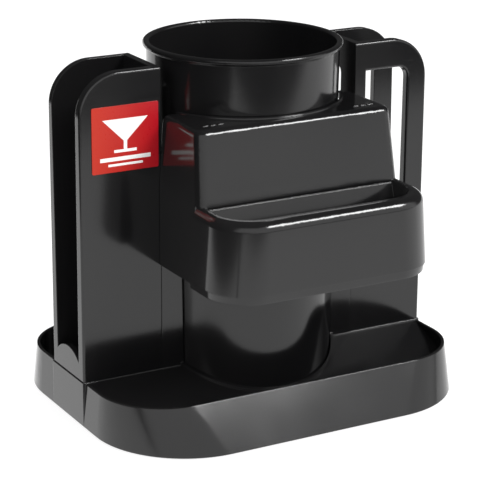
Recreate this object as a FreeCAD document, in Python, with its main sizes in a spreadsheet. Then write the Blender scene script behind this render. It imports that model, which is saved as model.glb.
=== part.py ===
import FreeCAD
import Part
import Sketcher
import math
import os

# Counter-top bar caddy in black moulded plastic.
# Millimetres.  +Z is up, X runs along the tray, the bin faces -Y.
# The origin is on the counter, on the axis of the round cup.

V = FreeCAD.Vector
doc = FreeCAD.newDocument("bar_caddy")

DIMENSIONS = [
    # tray
    ("tray_bottom", 0.8, "underside of the skirt above the counter"),
    ("rim_top", 24.0, "top of the tray rim"),
    ("rim_half_length", 101.4, "half length of the rim"),
    ("rim_half_depth", 70.7, "half depth of the rim"),
    ("rim_corner", 36.0, "corner radius of the rim"),
    ("foot_half_length", 102.8, "half length of the skirt at its foot"),
    ("foot_half_depth", 85.0, "half depth of the skirt at its foot"),
    ("foot_corner", 51.0, "corner radius of the skirt at its foot"),
    ("rim_lip", 1.6, "thickness of the rim seen from above"),
    ("moulding_wall", 2.4, "general wall of the tray"),
    ("ridge_top", 24.5, "top of the ridge the pockets stand on"),
    ("ridge_half_depth", 18.7, "half depth of the ridge"),
    ("deck_edge_top", 5.0, "height of the sloping deck under the rim"),
    ("bead_height", 1.2, "well collar above the deck"),
    ("well_floor_top", 3.8, "floor of the cup well"),
    ("well_wall", 2.2, "wall of the cup well"),
    ("cup_clearance", 0.7, "gap round the cup in its well"),
    ("fin_thickness", 3.0, "thickness of the upright fins"),
    ("fin_top", 81.3, "top of the upright fins"),
    ("fin_inner", 44.0, "inner end of a fin before the cup cuts it"),
    ("fin_outer", 57.3, "outer end of a fin"),
    # cup
    ("cup_bottom", 4.0, "underside of the cup"),
    ("cup_foot_radius", 47.4, "outer radius at the cup foot"),
    ("cup_neck_radius", 50.3, "outer radius just under the lip"),
    ("cup_neck_height", 186.6, "height at which the lip starts"),
    ("cup_lip_bottom", 187.8, "height at which the lip is full width"),
    ("cup_lip_radius", 52.0, "outer radius of the lip"),
    ("cup_top", 190.0, "top of the cup"),
    ("cup_mouth_radius", 48.4, "inner radius at the mouth"),
    ("cup_bore_foot", 45.2, "inner radius at the cup floor"),
    ("cup_floor_top", 6.6, "inside floor of the cup"),
    # side pockets
    ("pocket_inner", 57.5, "inner face of a pocket web"),
    ("pocket_outer", 102.3, "outer end of a pocket"),
    ("pocket_half_depth", 18.6, "half depth across both plates"),
    ("pocket_top", 185.0, "top of the plates"),
    ("pocket_corner", 22.0, "outer top corner radius"),
    ("pocket_web", 4.0, "web thickness"),
    ("pocket_end_tab", 3.0, "thickness of the retaining tab"),
    ("bay_half_top", 14.3, "half opening between plates at the top"),
    ("bay_half_foot", 13.0, "half opening between plates at the floor"),
    ("bay_floor", 32.4, "pocket floor"),
    ("bay_floor_under", 29.4, "underside of the pocket floor"),
    ("tab_radius", 18.5, "radius of the arched tab"),
    ("tab_centre_height", 20.5, "centre of the arched tab"),
    ("plate_round", 1.2, "rounding of the plate edges"),
    ("slot_half_width", 4.2, "half width of the web slot"),
    ("slot_low_centre", 96.0, "lower end centre of the web slot"),
    ("slot_high_centre", 166.3, "upper end centre of the web slot"),
    ("window_inner", 64.0, "inner side of the plate window"),
    ("window_outer", 90.6, "outer side of the plate window"),
    ("window_low", 70.0, "sill of the plate window"),
    ("window_high", 169.5, "head of the plate window"),
    ("window_corner", 6.0, "outer corner radius of the window"),
    # front bin
    ("bin_half_width", 58.4, "half width of the hood at trough level and below"),
    ("hood_half_top", 56.2, "half width of the hood at its top"),
    ("bin_back", 18.8, "distance of the hood's back edge from the axis"),
    ("hood_top", 160.0, "top of the hood"),
    ("hood_front_top", 55.8, "hood front at its top"),
    ("hood_front_foot", 61.2, "hood front at trough level and below"),
    ("hood_corner_top", 5.2, "front corner radius at the hood top"),
    ("hood_corner_foot", 5.0, "front corner radius at trough level"),
    ("hood_wall", 2.5, "hood wall"),
    ("hood_round", 4.0, "rounding of the hood's top edges"),
    ("hood_bore", 50.5, "radius of the cup hole in the hood"),
    ("bead_width", 1.9, "width of the bead round the cup hole"),
    ("bead_rise", 1.1, "rise of the bead round the cup hole"),
    ("bin_bottom", 81.5, "underside of the bin"),
    ("trough_top", 122.5, "top of the trough rim"),
    ("sole_half", 61.4, "half width of the trough at its very bottom"),
    ("sole_front", 96.4, "front of the trough at its very bottom"),
    ("sole_height", 4.0, "height of the set-back sole"),
    ("sole_step", 0.5, "set-back of the sole under the trough wall"),
    ("trough_foot_half", 62.4, "half width of the trough above its sole"),
    ("trough_foot_front", 97.5, "front of the trough above its sole"),
    ("trough_rim_half", 60.0, "half width of the trough at its rim"),
    ("trough_rim_front", 96.8, "front of the trough at its rim"),
    ("trough_corner", 23.0, "plan corner radius of the trough"),
    ("trough_back", 58.0, "where the trough body ends inside the hood"),
    ("rim_round", 5.0, "rounding of the rim on the outside"),
    ("mouth_round", 1.4, "easing of the rim on the inside"),
    ("trough_mouth_half", 53.6, "half width of the trough mouth"),
    ("trough_mouth_front", 88.4, "front of the trough mouth"),
    ("trough_mouth_corner", 17.0, "corner radius of the trough mouth"),
    ("trough_floor_corner", 11.0, "corner radius of the trough floor"),
    ("trough_floor", 85.0, "floor of the trough"),
    ("trough_slope", 13.0, "how far the back of the trough comes forward at its floor"),
    ("arm_inner", 54.3, "inner face of a fixing arm"),
    ("arm_outer", 57.4, "outer face of a fixing arm"),
    ("arm_low", 92.0, "bottom of a fixing arm"),
    ("arm_high", 140.0, "top of a fixing arm"),
    ("arm_reach", 8.0, "how far a fixing arm passes the axis"),
    ("mark_length", 3.2, "length of a moulded dash"),
    ("mark_width", 1.0, "width of a moulded dash"),
    ("mark_rise", 0.4, "rise of a moulded dash"),
    # label
    ("label_left", 95.7, "outer side of the label"),
    ("label_right", 58.9, "inner side of the label"),
    ("label_low", 134.0, "bottom of the label"),
    ("label_high", 168.0, "top of the label"),
    ("label_thickness", 0.4, "thickness of the label"),
    ("label_corner", 0.8, "corner radius of the label"),
    # feet and fixings
    ("foot_pad_x", 78.0, "foot position along X"),
    ("foot_pad_y", 50.0, "foot position along Y"),
    ("foot_pad_radius", 6.5, "radius of a rubber foot"),
    ("foot_pad_height", 3.6, "height of a rubber foot"),
    ("foot_boss_radius", 9.0, "boss holding a foot"),
    ("well_pad_radius", 18.0, "radius of the rubber pad under the well"),
    ("screw_shank", 1.75, "radius of the screw shank"),
    ("screw_head", 3.6, "radius of the screw head"),
    ("screw_head_height", 2.4, "height of the screw head"),
    ("screw_length", 9.0, "length of the pocket screw shank"),
    ("bin_screw_length", 8.4, "length of the bin screw shank"),
    ("screw_gap", 0.1, "clearance round a screw"),
    ("recess_radius", 1.9, "radius of the driver recess"),
    ("recess_depth", 1.3, "depth of the driver recess"),
    ("pocket_screw_near", 68.0, "inner pocket screw along X"),
    ("pocket_screw_far", 92.0, "outer pocket screw along X"),
    ("boss_radius", 4.2, "screw boss under the pocket floor"),
    ("bin_screw_low", 104.0, "height of the lower bin screw"),
    ("bin_screw_high", 131.0, "height of the upper bin screw"),
    ("washer_radius", 6.4, "outer radius of a washer"),
    ("washer_bore", 1.95, "bore radius of a washer"),
    ("washer_thickness", 1.2, "thickness of a washer"),
]

sheet = doc.addObject("Spreadsheet::Sheet", "Dimensions")
for row, (alias, number, note) in enumerate(DIMENSIONS, start=1):
    sheet.set("A%d" % row, note)
    sheet.set("B%d" % row, str(number))
    sheet.setAlias("B%d" % row, alias)
doc.recompute()
ALIASES = sorted((alias for alias, _, _ in DIMENSIONS), key=len, reverse=True)


def bound(formula):
    """Turn a formula in alias names into one that reads the sheet."""
    words = formula.replace("(", " ( ").replace(")", " ) ").split()
    return " ".join("Dimensions." + w if w in ALIASES else w for w in words)


def value(formula):
    """The present number behind a formula."""
    return float(sheet.evalExpression(bound(formula)))


def bind(thing, prop, formula):
    thing.setExpression(prop, bound(formula))


# ---------------------------------------------------------------- sketches
def new_sketch(owner, name, plane, offset="0"):
    """A sketch on XY, XZ or YZ, lifted along that plane's normal."""
    if owner is None:
        sketch = doc.addObject("Sketcher::SketchObject", name)
        turn = {
            "XY": FreeCAD.Rotation(),
            "XZ": FreeCAD.Rotation(V(1, 0, 0), 90),
            "YZ": FreeCAD.Rotation(V(1, 1, 1), 120),
        }[plane]
        sketch.Placement = FreeCAD.Placement(V(), turn)
        axis, sign = {"XY": ("z", ""), "XZ": ("y", "-1 * "), "YZ": ("x", "")}[plane]
        bind(sketch, "Placement.Base." + axis, sign + "( " + offset + " )")
    else:
        sketch = owner.newObject("Sketcher::SketchObject", name)
        planes = {f.Role: f for f in owner.Origin.OriginFeatures}
        sketch.AttachmentSupport = [(planes[plane + "_Plane"], "")]
        sketch.MapMode = "FlatFace"
        bind(sketch, "AttachmentOffset.Base.z", offset)
    doc.recompute()
    return sketch


def pin(sketch, geo, point, x_formula=None, y_formula=None):
    """Fix a point of the sketch by formulas for its coordinates."""
    axes = (("DistanceX", x_formula, -2), ("DistanceY", y_formula, -1))
    for kind, formula, own_axis in axes:
        if formula is None:
            continue
        number = value(formula)
        if abs(number) < 1e-9:
            sketch.addConstraint(Sketcher.Constraint("PointOnObject", geo, point, own_axis))
            continue
        index = sketch.addConstraint(Sketcher.Constraint(kind, -1, 1, geo, point, number))
        bind(sketch, "Constraints[%d]" % index, formula)


def arc_between(sketch, centre, start, end):
    """Arc drawn counter-clockwise from start to end."""
    radius = start.sub(centre).Length
    first = math.atan2(start.y - centre.y, start.x - centre.x)
    last = math.atan2(end.y - centre.y, end.x - centre.x)
    if last < first:
        last += 2 * math.pi
    circle = Part.Circle(centre, V(0, 0, 1), radius)
    return sketch.addGeometry(Part.ArcOfCircle(circle, first, last), False)


def outline(sketch, corners):
    """Closed outline.  A corner is (x, y) or (x, y, radius), as formulas.

    The sides next to a rounded corner run along the sketch axes.
    """
    count = len(corners)
    spots = [V(value(c[0]), value(c[1]), 0) for c in corners]
    radii = [value(c[2]) if len(c) == 3 else 0.0 for c in corners]

    def shifted(i, j):
        """Corner i moved towards corner j by its rounding."""
        way = spots[j].sub(spots[i])
        way.normalize()
        return spots[i].add(way.multiply(radii[i]))

    sides = []
    for i in range(count):
        j = (i + 1) % count
        line = Part.LineSegment(shifted(i, j), shifted(j, i))
        sides.append(sketch.addGeometry(line, False))
    for i in range(count):
        before, after = sides[i - 1], sides[i]
        if radii[i] == 0.0:
            sketch.addConstraint(Sketcher.Constraint("Coincident", before, 2, after, 1))
            pin(sketch, after, 1, corners[i][0], corners[i][1])
            continue
        start = shifted(i, (i - 1) % count)
        end = shifted(i, (i + 1) % count)
        centre = start.add(end).sub(spots[i])
        leftward = start.sub(centre).cross(end.sub(centre)).z > 0
        near, far = (1, 2) if leftward else (2, 1)
        geo = arc_between(sketch, centre, *((start, end) if leftward else (end, start)))
        sketch.addConstraint(Sketcher.Constraint("Tangent", before, 2, geo, near))
        sketch.addConstraint(Sketcher.Constraint("Tangent", geo, far, after, 1))
        index = sketch.addConstraint(Sketcher.Constraint("Radius", geo, radii[i]))
        bind(sketch, "Constraints[%d]" % index, corners[i][2])
    for i in range(count):
        j = (i + 1) % count
        if radii[i] == 0.0 and radii[j] == 0.0:
            continue
        upright = abs(spots[i].x - spots[j].x) < 1e-9
        kind = "Vertical" if upright else "Horizontal"
        sketch.addConstraint(Sketcher.Constraint(kind, sides[i]))
        if radii[i] > 0.0 and radii[j] > 0.0:
            if upright:
                pin(sketch, sides[i], 1, x_formula=corners[i][0])
            else:
                pin(sketch, sides[i], 1, y_formula=corners[i][1])


def ring(sketch, x_formula, y_formula, radius):
    """A circle in the sketch."""
    centre = V(value(x_formula), value(y_formula), 0)
    circle = Part.Circle(centre, V(0, 0, 1), value(radius))
    geo = sketch.addGeometry(circle, False)
    pin(sketch, geo, 3, x_formula, y_formula)
    index = sketch.addConstraint(Sketcher.Constraint("Radius", geo, value(radius)))
    bind(sketch, "Constraints[%d]" % index, radius)


def centred_box(half_x, half_y, radius=None):
    """Corners of a rectangle centred on the sketch origin."""
    tail = (radius,) if radius else ()
    minus_x, minus_y = "-1 * ( %s )" % half_x, "-1 * ( %s )" % half_y
    return [
        (minus_x, minus_y) + tail,
        (half_x, minus_y) + tail,
        (half_x, half_y) + tail,
        (minus_x, half_y) + tail,
    ]


# ---------------------------------------------------------------- solids
def new_body(name):
    body = doc.addObject("PartDesign::Body", name)
    body.Label = name
    doc.recompute()
    return body


def feature(body, kind, name, sketch, length=None, both_ways=False, reverse=False):
    """A pad or pocket of a sketch."""
    made = body.newObject("PartDesign::" + kind, name)
    made.Profile = sketch
    made.Midplane = both_ways
    made.Reversed = reverse
    if length is not None:
        bind(made, "Length", length)
    doc.recompute()
    return made


def loft(body, kind, name, low, high):
    made = body.newObject("PartDesign::" + kind, name)
    made.Profile = low
    made.Sections = [high]
    made.Ruled = True
    doc.recompute()
    return made


def rounded(body, name, radius, wanted):
    """Round the edges of the body that a test picks out."""
    before = body.Tip
    names = ["Edge%d" % (i + 1) for i, e in enumerate(before.Shape.Edges) if wanted(e)]
    made = body.newObject("PartDesign::Fillet", name)
    made.Base = (before, names)
    bind(made, "Radius", radius)
    doc.recompute()
    return made


def mid(edge):
    return edge.valueAt(0.5 * (edge.FirstParameter + edge.LastParameter))


def extrusion(name, sketch, length, both_ways=False):
    made = doc.addObject("Part::Extrusion", name)
    made.Base = sketch
    made.DirMode = "Normal"
    made.Solid = True
    made.Symmetric = both_ways
    bind(made, "LengthFwd", length)
    doc.recompute()
    return made


def joined(kind, name, parts):
    """A boolean of several shapes."""
    made = doc.addObject("Part::" + kind, name)
    if kind == "Cut":
        made.Base, made.Tool = parts
    else:
        made.Shapes = parts
    doc.recompute()
    return made


def cylinder(name, radius, height, x="0", y="0", z="0"):
    made = doc.addObject("Part::Cylinder", name)
    bind(made, "Radius", radius)
    bind(made, "Height", height)
    for axis, formula in (("x", x), ("y", y), ("z", z)):
        bind(made, "Placement.Base." + axis, formula)
    return made


def box(name, low, high):
    """A box between two corners given as formulas."""
    made = doc.addObject("Part::Box", name)
    for axis, prop, a, b in zip("xyz", ("Length", "Width", "Height"), low, high):
        bind(made, prop, "( %s ) - ( %s )" % (b, a))
        bind(made, "Placement.Base." + axis, a)
    return made


# ---------------------------------------------------------------- base tray
def plan(name, half_x, half_y, radius, height):
    sketch = new_sketch(None, name, "XY", height)
    outline(sketch, centred_box(half_x, half_y, radius))
    return sketch


def roof(name, drop):
    """Space above the roof-shaped deck, lowered by a thickness."""
    sketch = new_sketch(None, name + "_profile", "YZ")
    run = "( foot_half_depth + 5 - ridge_half_depth )"
    fall = "( ridge_top - deck_edge_top ) / ( rim_half_depth - ridge_half_depth )"
    low = "ridge_top - %s * %s - ( %s )" % (run, fall, drop)
    edge = "foot_half_depth + 5"
    crest = "ridge_top - ( %s )" % drop
    outline(sketch, [
        ("-1 * ( %s )" % edge, low),
        ("-1 * ridge_half_depth", crest),
        ("ridge_half_depth", crest),
        (edge, low),
        (edge, "ridge_top + 20"),
        ("-1 * ( %s )" % edge, "ridge_top + 20"),
    ])
    return extrusion(name, sketch, "2 * foot_half_length + 10", both_ways=True)


def base_tray():
    foot = plan("foot_plan", "foot_half_length", "foot_half_depth", "foot_corner", "tray_bottom")
    rim = plan("rim_plan", "rim_half_length", "rim_half_depth", "rim_corner", "rim_top")
    skin = "moulding_wall"
    foot_in = plan("foot_plan_inner", "foot_half_length - " + skin, "foot_half_depth - " + skin,
                   "foot_corner - " + skin, "tray_bottom")
    rim_in = plan("rim_plan_inner", "rim_half_length - rim_lip", "rim_half_depth - rim_lip",
                  "rim_corner - rim_lip", "rim_top")
    lofts = []
    for name, sections in (("skirt_outside", [foot, rim]), ("skirt_inside", [foot_in, rim_in])):
        made = doc.addObject("Part::Loft", name)
        made.Sections = sections
        made.Solid = True
        made.Ruled = True
        lofts.append(made)
    doc.recompute()
    outside, inside = lofts
    skirt = joined("Cut", "skirt", [outside, inside])

    wall_plan = plan("basin_plan_outer", "rim_half_length", "rim_half_depth + 0.8",
                     "rim_corner", "tray_bottom")
    basin_plan = plan("basin_plan_inner", "rim_half_length - rim_lip", "rim_half_depth - rim_lip",
                      "rim_corner - rim_lip", "tray_bottom")
    wall_prism = extrusion("basin_outside", wall_plan, "rim_top - tray_bottom")
    basin_prism = extrusion("basin_inside", basin_plan, "rim_top")
    under_deck = roof("space_above_deck_underside", "moulding_wall")
    above_deck = roof("space_above_deck", "0")
    block = joined("MultiCommon", "basin_block", [wall_prism, under_deck, outside])
    hollow = joined("MultiCommon", "basin_hollow", [basin_prism, above_deck])
    basin = joined("Cut", "basin", [block, hollow])

    ridge_outer = box("ridge_outside",
                      ("-1 * foot_half_length", "-1 * ridge_half_depth", "tray_bottom"),
                      ("foot_half_length", "ridge_half_depth", "ridge_top"))
    ridge_inner = box("ridge_inside",
                      ("moulding_wall - foot_half_length", "-1 * ridge_half_depth - 1",
                       "tray_bottom - 1"),
                      ("foot_half_length - moulding_wall", "ridge_half_depth + 1",
                       "ridge_top - moulding_wall"))
    ridge = joined("Cut", "ridge", [ridge_outer, ridge_inner])

    well_radius = "cup_foot_radius + cup_clearance"
    well_tube = cylinder("well_tube", well_radius + " + well_wall",
                         "ridge_top + bead_height - tray_bottom", z="tray_bottom")
    above_bead = roof("space_above_bead", "-1 * bead_height")
    well = joined("Cut", "well", [well_tube, above_bead])

    fins = []
    for side, (x_low, x_high) in (("left", ("-1 * fin_outer", "-1 * fin_inner")),
                                  ("right", ("fin_inner", "fin_outer"))):
        for face, (y_low, y_high) in (
                ("front", ("-1 * ridge_half_depth", "fin_thickness - ridge_half_depth")),
                ("back", ("ridge_half_depth - fin_thickness", "ridge_half_depth"))):
            fins.append(box("fin_%s_%s" % (side, face),
                            (x_low, y_low, "ridge_top - moulding_wall"),
                            (x_high, y_high, "fin_top")))

    bosses = []
    for number, (sx, sy) in enumerate(((1, 1), (1, -1), (-1, 1), (-1, -1)), start=1):
        bosses.append(cylinder("foot_boss_%d" % number, "foot_boss_radius",
                               "ridge_top - tray_bottom",
                               "%d * foot_pad_x" % sx, "%d * foot_pad_y" % sy, "tray_bottom"))
    doc.recompute()
    boss_set = joined("MultiFuse", "foot_boss_set", bosses)
    boss_cut = joined("Cut", "foot_bosses", [boss_set, under_deck])

    whole = joined("MultiFuse", "tray_before_holes",
                   [skirt, basin, ridge, well, boss_cut] + fins)

    cup_space = doc.addObject("Part::Cone", "cup_space")
    bind(cup_space, "Radius1", well_radius)
    bind(cup_space, "Radius2", well_radius + " + ( cup_neck_radius - cup_foot_radius ) * 0.56")
    bind(cup_space, "Height", "0.56 * ( cup_neck_height - cup_bottom )")
    bind(cup_space, "Placement.Base.z", "well_floor_top")
    under_well = cylinder("under_well", well_radius + " - well_wall",
                          "well_floor_top - moulding_wall + 2", z="-2")
    holes = [cup_space, under_well]
    for number, (sx, sy) in enumerate(((1, 1), (1, -1), (-1, 1), (-1, -1)), start=1):
        holes.append(cylinder("foot_socket_%d" % number, "foot_pad_radius + screw_gap",
                              "foot_pad_height",
                              "%d * foot_pad_x" % sx, "%d * foot_pad_y" % sy, "0"))
    for side in (-1, 1):
        for where in ("near", "far"):
            name = "tray_screw_hole_%s_%s" % ("left" if side < 0 else "right", where)
            holes.append(cylinder(name, "screw_shank + 2 * screw_gap", "ridge_top",
                                  "%d * pocket_screw_%s" % (side, where), "0", "10"))
    doc.recompute()
    hole_set = joined("MultiFuse", "tray_holes", holes)
    tray = joined("Cut", "base_tray", [whole, hole_set])
    tray.Label = "base_tray"
    return tray


# ---------------------------------------------------------------- centre cup
def centre_cup():
    body = new_body("centre_cup")
    sketch = new_sketch(body, "cup_section", "XZ")
    outline(sketch, [
        ("0", "cup_bottom"),
        ("cup_foot_radius - 1.2", "cup_bottom"),
        ("cup_foot_radius", "cup_bottom + 1.2"),
        ("cup_neck_radius", "cup_neck_height"),
        ("cup_lip_radius", "cup_lip_bottom"),
        ("cup_lip_radius", "cup_top"),
        ("cup_mouth_radius", "cup_top"),
        ("cup_bore_foot", "cup_floor_top"),
        ("0", "cup_floor_top"),
    ])
    turned = body.newObject("PartDesign::Revolution", "cup_turned")
    turned.Profile = sketch
    turned.ReferenceAxis = (sketch, ["V_Axis"])
    turned.Angle = 360
    doc.recompute()

    def lip_edge(edge):
        spot = mid(edge)
        return spot.z > value("cup_top") - 0.01 and edge.Closed
    rounded(body, "cup_lip_rounding", "cup_lip_radius / 40", lip_edge)
    return body


# ---------------------------------------------------------------- side pockets
def side_pocket(name, side, windows):
    """A three-sided pocket.  side is -1 for left and 1 for right."""
    body = new_body(name)
    flip = "%d * " % side

    def at(formula):
        return flip + "( " + formula + " )"

    front = new_sketch(body, name + "_side_view", "XZ")
    outline(front, [
        (at("pocket_inner"), "ridge_top"),
        (at("pocket_outer"), "ridge_top"),
        (at("pocket_outer"), "pocket_top", "pocket_corner"),
        (at("pocket_inner"), "pocket_top"),
    ])
    feature(body, "Pad", name + "_block", front, "2 * pocket_half_depth", both_ways=True)

    wall_inner = at("pocket_inner + pocket_web")
    bay = new_sketch(body, name + "_bay_section", "YZ", wall_inner)
    slope = "( bay_half_top - bay_half_foot ) * 0.05"
    outline(bay, [
        ("-1 * bay_half_foot", "bay_floor"),
        ("bay_half_foot", "bay_floor"),
        ("bay_half_top + " + slope, "pocket_top + 5"),
        ("-1 * ( bay_half_top + %s )" % slope, "pocket_top + 5"),
    ])
    bay_length = "pocket_outer - pocket_inner - pocket_web - pocket_end_tab"
    feature(body, "Pocket", name + "_bay", bay, bay_length, reverse=side > 0)

    mouth = new_sketch(body, name + "_mouth_section", "YZ", at("pocket_outer - pocket_end_tab"))
    tab_mouth(mouth)
    feature(body, "Pocket", name + "_mouth", mouth, "pocket_end_tab + 2", reverse=side > 0)

    under = new_sketch(body, name + "_underside", "XY", "ridge_top")
    inner_x, outer_x = at("pocket_inner + pocket_web"), at("pocket_outer - pocket_end_tab")
    near_y, far_y = "-1 * ( bay_half_foot + 1 )", "bay_half_foot + 1"
    outline(under, [(inner_x, near_y), (outer_x, near_y), (outer_x, far_y), (inner_x, far_y)])
    ring(under, at("pocket_screw_near"), "0", "boss_radius")
    ring(under, at("pocket_screw_far"), "0", "boss_radius")
    feature(body, "Pocket", name + "_hollow_under_floor", under,
            "bay_floor_under - ridge_top", reverse=True)

    bores = new_sketch(body, name + "_screw_bores", "XY", "ridge_top")
    ring(bores, at("pocket_screw_near"), "0", "screw_shank + screw_gap")
    ring(bores, at("pocket_screw_far"), "0", "screw_shank + screw_gap")
    feature(body, "Pocket", name + "_bores", bores,
            "screw_length - moulding_wall + 0.4", reverse=True)

    slot = new_sketch(body, name + "_web_slot", "YZ", at("pocket_inner - 1"))
    outline(slot, [
        ("-1 * slot_half_width", "slot_low_centre - slot_half_width", "slot_half_width - 0.01"),
        ("slot_half_width", "slot_low_centre - slot_half_width", "slot_half_width - 0.01"),
        ("slot_half_width", "slot_high_centre + slot_half_width", "slot_half_width - 0.01"),
        ("-1 * slot_half_width", "slot_high_centre + slot_half_width", "slot_half_width - 0.01"),
    ])
    feature(body, "Pocket", name + "_slot", slot, "pocket_web + 2", reverse=side > 0)

    if windows:
        view = new_sketch(body, name + "_window_view", "XZ")
        outline(view, [
            (at("window_inner"), "window_low"),
            (at("window_outer"), "window_low", "window_corner"),
            (at("window_outer"), "window_high", "window_corner"),
            (at("window_inner"), "window_high"),
        ])
        feature(body, "Pocket", name + "_windows", view, "4 * pocket_half_depth", both_ways=True)

    half, outer = value("pocket_half_depth"), value("pocket_outer")
    top, corner = value("pocket_top"), value("pocket_corner")

    def outer_edge(edge):
        """Edges of the plates along their top, round corner and end."""
        spot = mid(edge)
        if abs(abs(spot.y) - half) > 0.01:
            return False
        on_top = abs(spot.z - top) < 0.01
        on_end = abs(abs(spot.x) - outer) < 0.01
        on_arc = abs(spot.x) > outer - corner and spot.z > top - corner
        return on_top or on_end or on_arc
    rounded(body, name + "_edge_rounding", "plate_round", outer_edge)
    return body


def tab_mouth(sketch):
    """Opening at the pocket's end, bounded below by the arched tab."""
    half = value("bay_half_foot")
    radius = value("tab_radius")
    centre = V(0, value("tab_centre_height"), 0)
    rise = (radius ** 2 - half ** 2) ** 0.5
    left_foot = V(-half, centre.y + rise, 0)
    right_foot = V(half, centre.y + rise, 0)
    top = value("pocket_top + 5")
    widening = "bay_half_top + ( bay_half_top - bay_half_foot ) * 0.05"
    wide = value(widening)
    arc = arc_between(sketch, centre, right_foot, left_foot)
    right = sketch.addGeometry(Part.LineSegment(right_foot, V(wide, top, 0)), False)
    lid = sketch.addGeometry(Part.LineSegment(V(wide, top, 0), V(-wide, top, 0)), False)
    left = sketch.addGeometry(Part.LineSegment(V(-wide, top, 0), left_foot), False)
    for a, a_end, b, b_end in ((arc, 1, right, 1), (right, 2, lid, 1),
                               (lid, 2, left, 1), (left, 2, arc, 2)):
        sketch.addConstraint(Sketcher.Constraint("Coincident", a, a_end, b, b_end))
    pin(sketch, arc, 3, "0", "tab_centre_height")
    index = sketch.addConstraint(Sketcher.Constraint("Radius", arc, radius))
    bind(sketch, "Constraints[%d]" % index, "tab_radius")
    pin(sketch, right, 1, x_formula="bay_half_foot")
    pin(sketch, left, 2, x_formula="-1 * bay_half_foot")
    pin(sketch, lid, 1, widening, "pocket_top + 5")
    pin(sketch, lid, 2, "-1 * ( %s )" % widening, "pocket_top + 5")


# ---------------------------------------------------------------- front bin
def bin_section(body, name, half, back, front, radius, height):
    """Plan outline with its two front corners rounded."""
    sketch = new_sketch(body, name, "XY", height)
    outline(sketch, [
        ("-1 * ( %s )" % half, "-1 * ( %s )" % front, radius),
        (half, "-1 * ( %s )" % front, radius),
        (half, "-1 * ( %s )" % back),
        ("-1 * ( %s )" % half, "-1 * ( %s )" % back),
    ])
    return sketch


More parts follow.
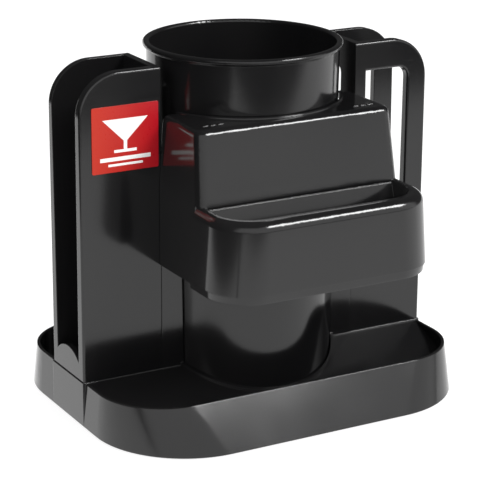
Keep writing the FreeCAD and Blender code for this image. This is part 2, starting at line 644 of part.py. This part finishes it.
def front_bin():
    body = new_body("front_bin")
    sole = bin_section(body, "trough_sole_plan", "sole_half", "trough_back",
                       "sole_front", "trough_corner - 1", "bin_bottom")
    step = bin_section(body, "trough_step_plan", "trough_foot_half - sole_step", "trough_back",
                       "trough_foot_front - sole_step", "trough_corner - sole_step",
                       "bin_bottom + sole_height")
    loft(body, "AdditiveLoft", "trough_sole", sole, step)
    foot = bin_section(body, "trough_foot_plan", "trough_foot_half", "trough_back",
                       "trough_foot_front", "trough_corner", "bin_bottom + sole_height")
    rim = bin_section(body, "trough_rim_plan", "trough_rim_half", "trough_back",
                      "trough_rim_front", "trough_corner", "trough_top")
    loft(body, "AdditiveLoft", "trough", foot, rim)
    round_rim(body)

    low = bin_section(body, "hood_base_plan", "bin_half_width", "bin_back",
                      "hood_front_foot", "hood_corner_foot", "bin_bottom")
    feature(body, "Pad", "hood_base", low, "trough_top - bin_bottom")
    middle = bin_section(body, "hood_foot_plan", "bin_half_width", "bin_back",
                         "hood_front_foot", "hood_corner_foot", "trough_top")
    top = bin_section(body, "hood_top_plan", "hood_half_top", "bin_back",
                      "hood_front_top", "hood_corner_top", "hood_top")
    loft(body, "AdditiveLoft", "hood", middle, top)
    round_hood(body)

    inner = bin_section(body, "hollow_base_plan", "bin_half_width - hood_wall", "bin_back - 5",
                        "hood_front_foot - hood_wall", "hood_corner_foot - hood_wall",
                        "bin_bottom")
    feature(body, "Pocket", "hollow_base", inner, "trough_top - bin_bottom", reverse=True)
    inner_low = bin_section(body, "hollow_foot_plan", "bin_half_width - hood_wall",
                            "bin_back - 5", "hood_front_foot - hood_wall",
                            "hood_corner_foot - hood_wall", "trough_top")
    inner_top = bin_section(body, "hollow_top_plan", "hood_half_top - hood_wall",
                            "bin_back - 5", "hood_front_top - hood_wall",
                            "hood_corner_top - hood_wall", "hood_top - hood_wall")
    loft(body, "SubtractiveLoft", "hollow_hood", inner_low, inner_top)

    mouth = bin_section(body, "trough_mouth_plan", "trough_mouth_half", "hood_front_foot",
                        "trough_mouth_front", "trough_mouth_corner", "trough_top")
    floor = bin_section(body, "trough_floor_plan", "trough_mouth_half",
                        "hood_front_foot + trough_slope", "trough_mouth_front - 1",
                        "trough_floor_corner", "trough_floor")
    loft(body, "SubtractiveLoft", "trough_cavity", floor, mouth)
    round_mouth(body)

    disc = new_sketch(body, "bead_plan", "XY", "hood_top - hood_wall / 2")
    ring(disc, "0", "0", "hood_bore + bead_width")
    feature(body, "Pad", "bead", disc, "hood_wall / 2 + bead_rise")
    behind = new_sketch(body, "bead_back_plan", "XY", "hood_top + 10")
    wide = "hood_bore + 10"
    outline(behind, [
        ("-1 * ( %s )" % wide, "-1 * bin_back"),
        (wide, "-1 * bin_back"),
        (wide, wide),
        ("-1 * ( %s )" % wide, wide),
    ])
    feature(body, "Pocket", "bead_back", behind, "20")
    bore = new_sketch(body, "cup_hole_plan", "XY", "hood_top + 10")
    ring(bore, "0", "0", "hood_bore")
    feature(body, "Pocket", "cup_hole", bore, "20")
    round_bead(body)

    marks = new_sketch(body, "mark_plan", "XY", "hood_top - 0.2")
    for side in (-1, 1):
        for number in range(3):
            left = "%d * 43.5 + %d * 4.2 - mark_length / 2" % (side, number - 1)
            low_y = "-48.5"
            outline(marks, [
                (left, low_y),
                (left + " + mark_length", low_y),
                (left + " + mark_length", low_y + " + mark_width"),
                (left, low_y + " + mark_width"),
            ])
    feature(body, "Pad", "moulded_dashes", marks, "mark_rise + 0.2")

    for side, start in ((-1, "-1 * arm_outer"), (1, "arm_inner")):
        name = "left" if side < 0 else "right"
        profile = new_sketch(body, "arm_view_" + name, "YZ", start)
        outline(profile, [
            ("-1 * bin_back - 6", "arm_low"),
            ("arm_reach", "arm_low", "6"),
            ("arm_reach", "arm_high", "6"),
            ("-1 * bin_back - 6", "arm_high"),
        ])
        feature(body, "Pad", "arm_" + name, profile, "arm_outer - arm_inner")
        holes = new_sketch(body, "arm_holes_" + name, "YZ", start)
        for height in ("bin_screw_low", "bin_screw_high"):
            ring(holes, "0", height, "screw_shank + screw_gap")
        feature(body, "Pocket", "arm_bores_" + name, holes, "arm_outer - arm_inner", reverse=True)
    return body


def round_hood(body):
    """Round the hood's top edge along both sides and the front."""
    top, back = value("hood_top"), value("bin_back")

    def wanted(edge):
        spot = mid(edge)
        return abs(spot.z - top) < 0.01 and spot.y < -back - 0.1
    rounded(body, "hood_rounding", "hood_round", wanted)


def follows(edge, half, front, radius):
    """Whether an edge lies on a bin outline: its front, a corner or a side."""
    spot = mid(edge)
    across, ahead = abs(spot.x), -spot.y
    half, front, radius = value(half), value(front), value(radius)
    on_front = abs(ahead - front) < 0.01
    on_side = abs(across - half) < 0.01 and ahead > value("hood_front_foot")
    reach = math.hypot(across - half + radius, ahead - front + radius)
    on_corner = abs(reach - radius) < 0.01
    return on_front or on_side or on_corner


def round_rim(body):
    """Round the outer edge of the trough rim."""
    height = value("trough_top")

    def wanted(edge):
        on_rim = follows(edge, "trough_rim_half", "trough_rim_front", "trough_corner")
        return abs(mid(edge).z - height) < 0.01 and on_rim
    rounded(body, "rim_rounding", "rim_round", wanted)


def round_mouth(body):
    """Ease the inner edge of the trough mouth in two short flares."""
    steps = (("1", "0"), ("0.3", "0.3"), ("0", "1"))
    plans = []
    for number, (drop, spread) in enumerate(steps):
        wider = " + %s * mouth_round" % spread
        plans.append(bin_section(body, "mouth_flare_plan_%d" % number,
                                 "trough_mouth_half" + wider, "hood_front_foot",
                                 "trough_mouth_front" + wider, "trough_mouth_corner" + wider,
                                 "trough_top - %s * mouth_round" % drop))
    loft(body, "SubtractiveLoft", "mouth_flare_low", plans[0], plans[1])
    loft(body, "SubtractiveLoft", "mouth_flare_high", plans[1], plans[2])


def round_bead(body):
    """Round the bead round the cup hole."""
    crest = value("hood_top + bead_rise")

    def wanted(edge):
        spot = mid(edge)
        return abs(spot.z - crest) < 0.01 and spot.y < -value("bin_back") - 0.1
    rounded(body, "bead_rounding", "bead_width / 2 - 0.15", wanted)


# ---------------------------------------------------------------- label, feet, fixings
def label_panel():
    body = new_body("label_panel")
    sketch = new_sketch(body, "label_view", "XZ", "pocket_half_depth")
    outline(sketch, [
        ("-1 * label_left", "label_low", "label_corner"),
        ("-1 * label_right", "label_low", "label_corner"),
        ("-1 * label_right", "label_high", "label_corner"),
        ("-1 * label_left", "label_high", "label_corner"),
    ])
    feature(body, "Pad", "label_sheet", sketch, "label_thickness")
    return body


def group(name, members):
    """Several equal solids under one name."""
    made = doc.addObject("Part::Compound", name)
    made.Links = members
    made.Label = name
    doc.recompute()
    return made


def rubber_feet():
    feet = []
    for number, (sx, sy) in enumerate(((1, 1), (1, -1), (-1, 1), (-1, -1)), start=1):
        place = ("%d * foot_pad_x" % sx, "%d * foot_pad_y" % sy)
        taper = doc.addObject("Part::Cone", "foot_taper_%d" % number)
        bind(taper, "Radius1", "foot_pad_radius - 0.6")
        bind(taper, "Radius2", "foot_pad_radius")
        bind(taper, "Height", "tray_bottom")
        bind(taper, "Placement.Base.x", place[0])
        bind(taper, "Placement.Base.y", place[1])
        upper = cylinder("foot_plug_%d" % number, "foot_pad_radius",
                         "foot_pad_height - tray_bottom", place[0], place[1], "tray_bottom")
        doc.recompute()
        feet.append(joined("MultiFuse", "foot_%d" % number, [taper, upper]))
    feet.append(cylinder("well_pad", "well_pad_radius", "well_floor_top - moulding_wall"))
    return group("rubber_feet", feet)


def screw(name, length, turn, x, y, z):
    """A pan-head screw with its seat at (x, y, z) and its tip along the turned +Z."""
    head = doc.addObject("Part::Cone", name + "_head")
    bind(head, "Radius1", "screw_head - 0.8")
    bind(head, "Radius2", "screw_head")
    bind(head, "Height", "screw_head_height")
    bind(head, "Placement.Base.z", "-1 * screw_head_height")
    shank = cylinder(name + "_shank", "screw_shank", length)
    arm = "recess_radius"
    slim = "recess_radius / 4"
    low, high = "-1 * screw_head_height - 1", "recess_depth - screw_head_height"
    one = box(name + "_recess_a", ("-1 * " + arm, "-1 * " + slim, low), (arm, slim, high))
    two = box(name + "_recess_b", ("-1 * " + slim, "-1 * " + arm, low), (slim, arm, high))
    doc.recompute()
    blank = joined("MultiFuse", name + "_blank", [head, shank])
    cross = joined("MultiFuse", name + "_recess", [one, two])
    made = joined("Cut", name, [blank, cross])
    made.Placement = FreeCAD.Placement(V(), turn)
    for axis, formula in (("x", x), ("y", y), ("z", z)):
        bind(made, "Placement.Base." + axis, formula)
    doc.recompute()
    return made


def pocket_screws():
    upright = FreeCAD.Rotation()
    made = []
    for side, word in ((-1, "left"), (1, "right")):
        for where in ("near", "far"):
            made.append(screw("pocket_screw_%s_%s" % (word, where), "screw_length", upright,
                              "%d * pocket_screw_%s" % (side, where), "0",
                              "ridge_top - moulding_wall"))
    return group("pocket_screws", made)


def bin_fixings():
    screws, washers = [], []
    for side, word in ((-1, "left"), (1, "right")):
        turn = FreeCAD.Rotation(V(0, 1, 0), -90 * side)
        face = "%d * ( pocket_inner + pocket_web )" % side
        seat = "%d * ( pocket_inner + pocket_web + washer_thickness )" % side
        for where in ("low", "high"):
            height = "bin_screw_" + where
            name = "%s_%s" % (word, where)
            screws.append(screw("bin_screw_" + name, "bin_screw_length", turn, seat, "0", height))
            disc = cylinder("washer_disc_" + name, "washer_radius", "washer_thickness")
            bore = cylinder("washer_bore_" + name, "washer_bore", "washer_thickness")
            doc.recompute()
            washer = joined("Cut", "washer_" + name, [disc, bore])
            washer.Placement = FreeCAD.Placement(V(), FreeCAD.Rotation(V(0, 1, 0), 90 * side))
            for axis, formula in (("x", face), ("y", "0"), ("z", height)):
                bind(washer, "Placement.Base." + axis, formula)
            washers.append(washer)
    doc.recompute()
    return group("bin_screws", screws), group("bin_washers", washers)


# ---------------------------------------------------------------- build and write
nodes = [
    base_tray(),
    centre_cup(),
    side_pocket("left_pocket", -1, windows=False),
    side_pocket("right_pocket", 1, windows=True),
    front_bin(),
    label_panel(),
    rubber_feet(),
    pocket_screws(),
]
nodes.extend(bin_fixings())
doc.recompute()

for thing in doc.Objects:
    if "Invalid" in thing.State or "Error" in thing.State:
        raise RuntimeError("%s is not built: %s" % (thing.Name, thing.State))
os.makedirs("parts", exist_ok=True)
for node in nodes:
    if node.Shape.isNull() or not node.Shape.isValid() or node.Shape.Volume <= 0:
        raise RuntimeError("%s has no valid solid" % node.Label)
    node.Shape.exportStep("parts/%s.step" % node.Label)
    print(node.Label, len(node.Shape.Solids), round(node.Shape.Volume))
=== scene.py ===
import math

import bpy
from mathutils import Matrix, Vector


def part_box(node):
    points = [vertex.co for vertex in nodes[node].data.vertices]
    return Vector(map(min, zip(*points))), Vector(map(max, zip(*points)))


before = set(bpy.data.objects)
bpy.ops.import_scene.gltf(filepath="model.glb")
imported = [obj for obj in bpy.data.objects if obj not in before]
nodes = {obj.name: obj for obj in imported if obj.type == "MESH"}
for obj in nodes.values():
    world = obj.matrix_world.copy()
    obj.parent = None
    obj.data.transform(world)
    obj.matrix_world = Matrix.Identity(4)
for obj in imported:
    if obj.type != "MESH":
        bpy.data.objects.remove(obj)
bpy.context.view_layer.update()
scene = bpy.context.scene

# ---------------------------------------------------------------- settings
# Lengths are in metres.  Colours are linear.
BLACK_DARK = (0.0050, 0.0050, 0.0054)
BLACK_LIGHT = (0.0095, 0.0092, 0.0094)
BLACK_SCRATCH = (0.020, 0.020, 0.021)
PLASTIC_EDGE = 0.0006

RED_LEFT = (0.46, 0.022, 0.006)
RED_RIGHT = (0.39, 0.002, 0.010)
RED_DARK = (0.34, 0.006, 0.010)
WHITE_LIGHT = (0.86, 0.84, 0.83)
WHITE_DARK = (0.80, 0.78, 0.77)

CREASE_ANGLE = 18.0
WELD_DISTANCE = 0.00001

FLOOR_REACH = 6.0
FLOOR_TONE = 0.30
TABLE_FRONT = -0.53
TABLE_LEFT = -0.42
TABLE_FADE = 0.05
TABLE_GLOW = 1.30
TABLE_HAZE = 0.03
# Painted shade: a soft dark streak in the glow of the reflected table top.
SHADE_STREAK_START = (-0.052, -0.091)
SHADE_STREAK_ACROSS = (0.646, -0.763)
SHADE_STREAK_HALF = (0.006, 0.013)
SHADE_STREAK_TONE = 0.15
SHADE_STREAK_REACH = (-0.25, -0.23)
WALL_FOOT_DEPTH = (-1.05, -0.80)
WALL_FOOT_LEFT = (-1.30, -0.80)
WALL_FOOT_GLOW = 1.3

WALL_BEARING = 8.0
WALL_SIDES = (0.15, 0.50)
WALL_TOP = (0.60, 0.80)
WALL_LIGHT = 1.35
ROOM_LIGHT = 0.07

CAMERA_AZIMUTH = -29.31
CAMERA_PITCH = 17.44
CAMERA_ROLL = 0.36
CAMERA_DISTANCE = 1.0752
CAMERA_TARGET_HEIGHT = 0.090
FOCAL_PIXELS = 2022.4
FRAME_PIXELS = 480.0
LENS_CENTRE = (241.77, 223.03)
SENSOR_MM = 36.0


# ---------------------------------------------------------------- node helper
class Graph:
    """Small wrapper that builds one procedural material."""

    def __init__(self, name):
        self.material = bpy.data.materials.new(name)
        self.material.use_nodes = True
        self.tree = self.material.node_tree
        self.tree.nodes.clear()
        self.out = self.node("ShaderNodeOutputMaterial")
        self.coords = self.node("ShaderNodeTexCoord").outputs["Object"]

    def node(self, kind, **settings):
        made = self.tree.nodes.new(kind)
        for key, setting in settings.items():
            setattr(made, key, setting)
        return made

    def feed(self, socket, source):
        """Link a socket to another one, or set it to a plain value."""
        if hasattr(source, "links"):
            self.tree.links.new(source, socket)
        else:
            socket.default_value = source

    def math(self, operation, *inputs):
        made = self.node("ShaderNodeMath", operation=operation)
        for socket, source in zip(made.inputs, inputs):
            self.feed(socket, source)
        return made.outputs[0]

    def axes(self):
        """X, Y and Z of the point, each as a socket."""
        split = self.node("ShaderNodeSeparateXYZ")
        self.feed(split.inputs[0], self.coords)
        return split.outputs

    def stretched(self, scale):
        made = self.node("ShaderNodeMapping")
        made.inputs["Scale"].default_value = scale
        self.feed(made.inputs["Vector"], self.coords)
        return made.outputs[0]

    def noise(self, scale, detail=3.0, rough=0.5, vector=None, seed=0.0):
        made = self.node("ShaderNodeTexNoise", noise_dimensions="4D")
        self.feed(made.inputs["Vector"], vector or self.coords)
        made.inputs["W"].default_value = seed
        made.inputs["Scale"].default_value = scale
        made.inputs["Detail"].default_value = detail
        made.inputs["Roughness"].default_value = rough
        return made.outputs[0]

    def ramp(self, source, low, high, start=0.3, end=0.7):
        """Go from low to high as the source goes from start to end."""
        made = self.node("ShaderNodeMapRange")
        self.feed(made.inputs["Value"], source)
        made.inputs["From Min"].default_value = start
        made.inputs["From Max"].default_value = end
        made.inputs["To Min"].default_value = low
        made.inputs["To Max"].default_value = high
        return made.outputs["Result"]

    def colour(self, factor, low, high):
        """Mix two colours, each a tuple or a socket."""
        made = self.node("ShaderNodeMix", data_type="RGBA")
        self.feed(made.inputs["Factor"], factor)
        self.feed(made.inputs["A"], low if hasattr(low, "links") else (*low, 1.0))
        self.feed(made.inputs["B"], high if hasattr(high, "links") else (*high, 1.0))
        return made.outputs["Result"]

    def bump(self, height, strength, distance, normal=None):
        made = self.node("ShaderNodeBump")
        made.inputs["Strength"].default_value = strength
        made.inputs["Distance"].default_value = distance
        self.feed(made.inputs["Height"], height)
        if normal is not None:
            self.feed(made.inputs["Normal"], normal)
        return made.outputs[0]

    def soft_edges(self, radius):
        made = self.node("ShaderNodeBevel", samples=6)
        made.inputs["Radius"].default_value = radius
        return made.outputs[0]

    def finish(self, **inputs):
        shader = self.node("ShaderNodeBsdfPrincipled")
        for key, source in inputs.items():
            self.feed(shader.inputs[key.replace("_", " ")], source)
        self.tree.links.new(shader.outputs[0], self.out.inputs["Surface"])
        return self.material


# ---------------------------------------------------------------- materials
def black_plastic(name, seed):
    """Polished black moulding: flow marks, orange peel and fine handling scratches."""
    g = Graph(name)
    flow = g.noise(14.0, 4.0, 0.55, g.stretched((1.0, 1.0, 0.35)), seed)
    peel = g.noise(420.0, 2.0, 0.4, seed=seed + 3.0)
    grain = g.noise(2600.0, 2.0, 0.6, seed=seed + 5.0)
    swirl = g.noise(90.0, 6.0, 0.7, g.stretched((1.0, 1.0, 9.0)), seed + 7.0)
    hairline = g.ramp(swirl, 0.0, 1.0, 0.62, 0.70)
    tone = g.colour(g.ramp(flow, 0.0, 1.0), BLACK_DARK, BLACK_LIGHT)
    tone = g.colour(g.math("MULTIPLY", hairline, 0.25), tone, BLACK_SCRATCH)
    rough = g.math("ADD", g.ramp(flow, 0.10, 0.17), g.math("MULTIPLY", hairline, 0.05))
    relief = g.bump(peel, 0.05, 0.00012, g.soft_edges(PLASTIC_EDGE))
    relief = g.bump(grain, 0.06, 0.00006, relief)
    return g.finish(Base_Color=tone, Roughness=rough, IOR=1.5, Normal=relief)


def label_film():
    """Red printed film with a white glass pictogram and two plain rules."""
    g = Graph("red_film")
    low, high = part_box("label_panel")
    place = g.axes()
    across = g.math("DIVIDE", g.math("SUBTRACT", place["X"], low[0]), high[0] - low[0])
    up = g.math("DIVIDE", g.math("SUBTRACT", place["Z"], low[2]), high[2] - low[2])
    spread = g.math("ABSOLUTE", g.math("SUBTRACT", across, 0.5))

    def bar(half_width, centre, half_height):
        gap = g.math("ABSOLUTE", g.math("SUBTRACT", up, centre))
        return g.math("MULTIPLY", g.math("LESS_THAN", spread, half_width),
                      g.math("LESS_THAN", gap, half_height))

    bowl_foot, bowl_flare, bowl_top = 0.44, 0.95, 0.80
    bowl_reach = g.math("MULTIPLY", g.math("SUBTRACT", up, bowl_foot), bowl_flare)
    mark = g.math("MULTIPLY", g.math("LESS_THAN", spread, bowl_reach),
                  g.math("LESS_THAN", up, bowl_top))
    stem = (0.026, 0.40, 0.08)
    base = (0.17, 0.315, 0.022)
    rules = ((0.38, 0.20, 0.030), (0.26, 0.11, 0.018))
    for shape in (stem, base, *rules):
        mark = g.math("MAXIMUM", mark, bar(*shape))

    mottle = g.noise(900.0, 3.0, 0.6, seed=2.0)
    red = g.colour(across, RED_LEFT, RED_RIGHT)
    red = g.colour(g.ramp(mottle, 0.0, 0.18), red, RED_DARK)
    white = g.colour(g.ramp(mottle, 0.0, 1.0), WHITE_LIGHT, WHITE_DARK)
    tone = g.colour(mark, red, white)
    relief = g.bump(mottle, 0.08, 0.00004, g.soft_edges(0.0002))
    relief = g.bump(mark, 0.25, 0.00004, relief)
    return g.finish(Base_Color=tone, Roughness=g.ramp(mottle, 0.26, 0.36), IOR=1.47,
                    Normal=relief)


def rubber():
    """Dull black rubber with fine pores."""
    g = Graph("foot_rubber")
    pores = g.noise(1500.0, 4.0, 0.6, seed=1.0)
    tone = g.colour(g.ramp(pores, 0.0, 1.0), (0.012, 0.012, 0.012), (0.028, 0.027, 0.026))
    relief = g.bump(pores, 0.5, 0.0001)
    return g.finish(Base_Color=tone, Roughness=g.ramp(pores, 0.62, 0.82), Normal=relief)


def steel():
    """Zinc-plated steel with fine turned rings."""
    g = Graph("plated_screw_steel")
    turn = g.noise(3200.0, 3.0, 0.6, g.stretched((1.0, 0.15, 1.0)), 4.0)
    cloud = g.noise(300.0, 3.0, 0.5, seed=6.0)
    tone = g.colour(g.ramp(cloud, 0.0, 1.0), (0.52, 0.52, 0.50), (0.68, 0.67, 0.63))
    relief = g.bump(turn, 0.3, 0.00005, g.soft_edges(0.0002))
    return g.finish(Base_Color=tone, Metallic=1.0, Roughness=g.ramp(turn, 0.22, 0.40),
                    Normal=relief)


def dress(node, material):
    """Give a CAD node its material, smooth shading and crisp creases."""
    piece = nodes[node]
    piece.data.materials.clear()
    piece.data.materials.append(material)
    for polygon in piece.data.polygons:
        polygon.use_smooth = True
    weld = piece.modifiers.new("weld", "WELD")
    weld.merge_threshold = WELD_DISTANCE
    split = piece.modifiers.new("creases", "EDGE_SPLIT")
    split.split_angle = math.radians(CREASE_ANGLE)
    split.use_edge_sharp = False
    even = piece.modifiers.new("even_normals", "WEIGHTED_NORMAL")
    even.keep_sharp = True
    even.weight = 80


mouldings = ("base_tray", "centre_cup", "left_pocket", "right_pocket", "front_bin")
for number, moulding in enumerate(mouldings):
    dress(moulding, black_plastic("black_plastic_" + moulding, 10.0 * number))
dress("label_panel", label_film())
dress("rubber_feet", rubber())
steel_finish = steel()
for fastener in ("pocket_screws", "bin_screws", "bin_washers"):
    dress(fastener, steel_finish)


# ---------------------------------------------------------------- floor and light
def reflected_floor(g, place):
    """What the object mirrors below the horizon: a white table top and, beyond its front edge,
    the lit floor before the wall.  A soft streak of painted shade darkens the table's glow from
    the tray's front left corner."""
    near = g.ramp(place["Y"], 0.0, 1.0, TABLE_FRONT - TABLE_FADE, TABLE_FRONT)
    inside = g.ramp(place["X"], 0.0, 1.0, TABLE_LEFT - TABLE_FADE, TABLE_LEFT)
    table = g.math("MULTIPLY", near, inside)
    along_x = g.math("MULTIPLY", g.math("SUBTRACT", place["X"], SHADE_STREAK_START[0]),
                     SHADE_STREAK_ACROSS[0])
    along_y = g.math("MULTIPLY", g.math("SUBTRACT", place["Y"], SHADE_STREAK_START[1]),
                     SHADE_STREAK_ACROSS[1])
    aside = g.math("ABSOLUTE", g.math("ADD", along_x, along_y))
    # Painted shade: the streak darkens the table's glow and shows only in reflections.
    shade_streak = g.ramp(aside, SHADE_STREAK_TONE, 1.0, *SHADE_STREAK_HALF)
    shade_streak = g.math("MAXIMUM", shade_streak, g.ramp(place["X"], 0.0, 1.0, *SHADE_STREAK_REACH))
    wall_foot = g.math("MULTIPLY", g.ramp(place["Y"], 1.0, 0.0, *WALL_FOOT_DEPTH),
                       g.ramp(place["X"], 0.0, 1.0, *WALL_FOOT_LEFT))
    glow = g.math("MULTIPLY", g.math("MULTIPLY", table, shade_streak), TABLE_GLOW)
    glow = g.math("ADD", glow, TABLE_HAZE)
    return g.math("ADD", glow, g.math("MULTIPLY", wall_foot, WALL_FOOT_GLOW))


def add_floor():
    """Plain pale floor, which is seen in reflections as a table top with edges."""
    mesh = bpy.data.meshes.new("floor")
    reach = FLOOR_REACH
    corners = [(-reach, -reach, 0), (reach, -reach, 0), (reach, reach, 0), (-reach, reach, 0)]
    mesh.from_pydata(corners, [], [(0, 1, 2, 3)])
    floor = bpy.data.objects.new("floor", mesh)
    scene.collection.objects.link(floor)
    g = Graph("studio_floor")
    cloud = g.noise(2.0, 2.0, 0.5)
    direct = g.node("ShaderNodeLightPath").outputs["Is Camera Ray"]
    glow = g.node("ShaderNodeMix", data_type="FLOAT")
    g.feed(glow.inputs["Factor"], direct)
    g.feed(glow.inputs["A"], reflected_floor(g, g.axes()))
    g.feed(glow.inputs["B"], g.ramp(cloud, 0.80, 0.84))
    pale = g.node("ShaderNodeBsdfDiffuse")
    pale.inputs["Color"].default_value = (FLOOR_TONE, FLOOR_TONE, FLOOR_TONE, 1.0)
    light = g.node("ShaderNodeEmission")
    g.feed(light.inputs["Strength"], glow.outputs[0])
    black = g.node("ShaderNodeEmission")
    black.inputs["Strength"].default_value = 0.0
    lit = g.node("ShaderNodeMixShader")
    g.feed(lit.inputs[0], direct)
    g.feed(lit.inputs[1], black.outputs[0])
    g.feed(lit.inputs[2], pale.outputs[0])
    both = g.node("ShaderNodeAddShader")
    g.feed(both.inputs[0], lit.outputs[0])
    g.feed(both.inputs[1], light.outputs[0])
    g.feed(g.out.inputs["Surface"], both.outputs[0])
    mesh.materials.append(g.material)


def add_area(name, place, target, size, power, mirrored=True):
    """Rectangular lamp.  One that isn't mirrored gives light but no reflection."""
    data = bpy.data.lights.new(name, "AREA")
    data.shape = "RECTANGLE"
    data.size, data.size_y = size
    data.energy = power
    lamp = bpy.data.objects.new(name, data)
    lamp.location = place
    aim = Vector(target) - Vector(place)
    lamp.rotation_euler = aim.to_track_quat("-Z", "Y").to_euler()
    lamp.visible_glossy = mirrored
    scene.collection.objects.link(lamp)


def add_world():
    """Studio with a lit wall in front and darkness elsewhere."""
    world = bpy.data.worlds.new("studio")
    scene.world = world
    world.use_nodes = True
    tree = world.node_tree
    tree.nodes.clear()
    node = tree.nodes.new
    link = tree.links.new

    def fade(source, limits, low, high):
        made = node("ShaderNodeMapRange")
        made.interpolation_type = "SMOOTHSTEP"
        made.inputs["From Min"].default_value = limits[0]
        made.inputs["From Max"].default_value = limits[1]
        made.inputs["To Min"].default_value = low
        made.inputs["To Max"].default_value = high
        link(source, made.inputs["Value"])
        return made.outputs["Result"]

    coords = node("ShaderNodeTexCoord").outputs["Generated"]
    split = node("ShaderNodeSeparateXYZ")
    link(coords, split.inputs[0])
    wall_way = node("ShaderNodeVectorMath")
    wall_way.operation = "DOT_PRODUCT"
    link(coords, wall_way.inputs[0])
    bearing = math.radians(WALL_BEARING)
    wall_way.inputs[1].default_value = (math.sin(bearing), -math.cos(bearing), 0.0)
    wall = node("ShaderNodeMath")
    wall.operation = "MULTIPLY_ADD"
    link(fade(wall_way.outputs["Value"], WALL_SIDES, 0.0, 1.0), wall.inputs[0])
    link(fade(split.outputs["Z"], WALL_TOP, WALL_LIGHT, 0.0), wall.inputs[1])
    wall.inputs[2].default_value = ROOM_LIGHT
    room = node("ShaderNodeBackground")
    link(wall.outputs[0], room.inputs["Strength"])
    link(room.outputs[0], node("ShaderNodeOutputWorld").inputs["Surface"])


add_floor()
add_world()
add_area("soft_box_front", (0.98, -1.26, 1.44), (0.0, 0.0, 0.1), (0.80, 0.50), 30.0)
add_area("soft_box_left", (-1.5, -0.4, 0.9), (0.0, 0.0, 0.1), (0.7, 0.7), 8.0, mirrored=False)
add_area("fill_above", (0.0, 0.0, 2.2), (0.0, 0.0, 0.0), (3.0, 3.0), 45.0, mirrored=False)


# ---------------------------------------------------------------- camera
def add_camera():
    """Camera to the front left, looking a little down."""
    azimuth = math.radians(CAMERA_AZIMUTH)
    pitch = math.radians(CAMERA_PITCH)
    roll = math.radians(CAMERA_ROLL)
    forward = Vector((-math.sin(azimuth) * math.cos(pitch),
                      math.cos(azimuth) * math.cos(pitch), -math.sin(pitch)))
    right = Vector((math.cos(azimuth), math.sin(azimuth), 0.0))
    up = right.cross(forward)
    rolled_right = right * math.cos(roll) + up * math.sin(roll)
    rolled_up = up * math.cos(roll) - right * math.sin(roll)
    data = bpy.data.cameras.new("camera")
    data.sensor_width = SENSOR_MM
    data.lens = FOCAL_PIXELS / FRAME_PIXELS * SENSOR_MM
    data.shift_x = (FRAME_PIXELS / 2 - LENS_CENTRE[0]) / FRAME_PIXELS
    data.shift_y = (LENS_CENTRE[1] - FRAME_PIXELS / 2) / FRAME_PIXELS
    data.clip_start = 0.05
    data.clip_end = 50.0
    camera = bpy.data.objects.new("camera", data)
    place = Vector((0.0, 0.0, CAMERA_TARGET_HEIGHT)) - forward * CAMERA_DISTANCE
    turn = Matrix((rolled_right, rolled_up, -forward)).transposed()
    camera.matrix_world = Matrix.Translation(place) @ turn.to_4x4()
    scene.collection.objects.link(camera)
    scene.camera = camera


add_camera()
scene.view_settings.view_transform = "Standard"
scene.view_settings.look = "None"
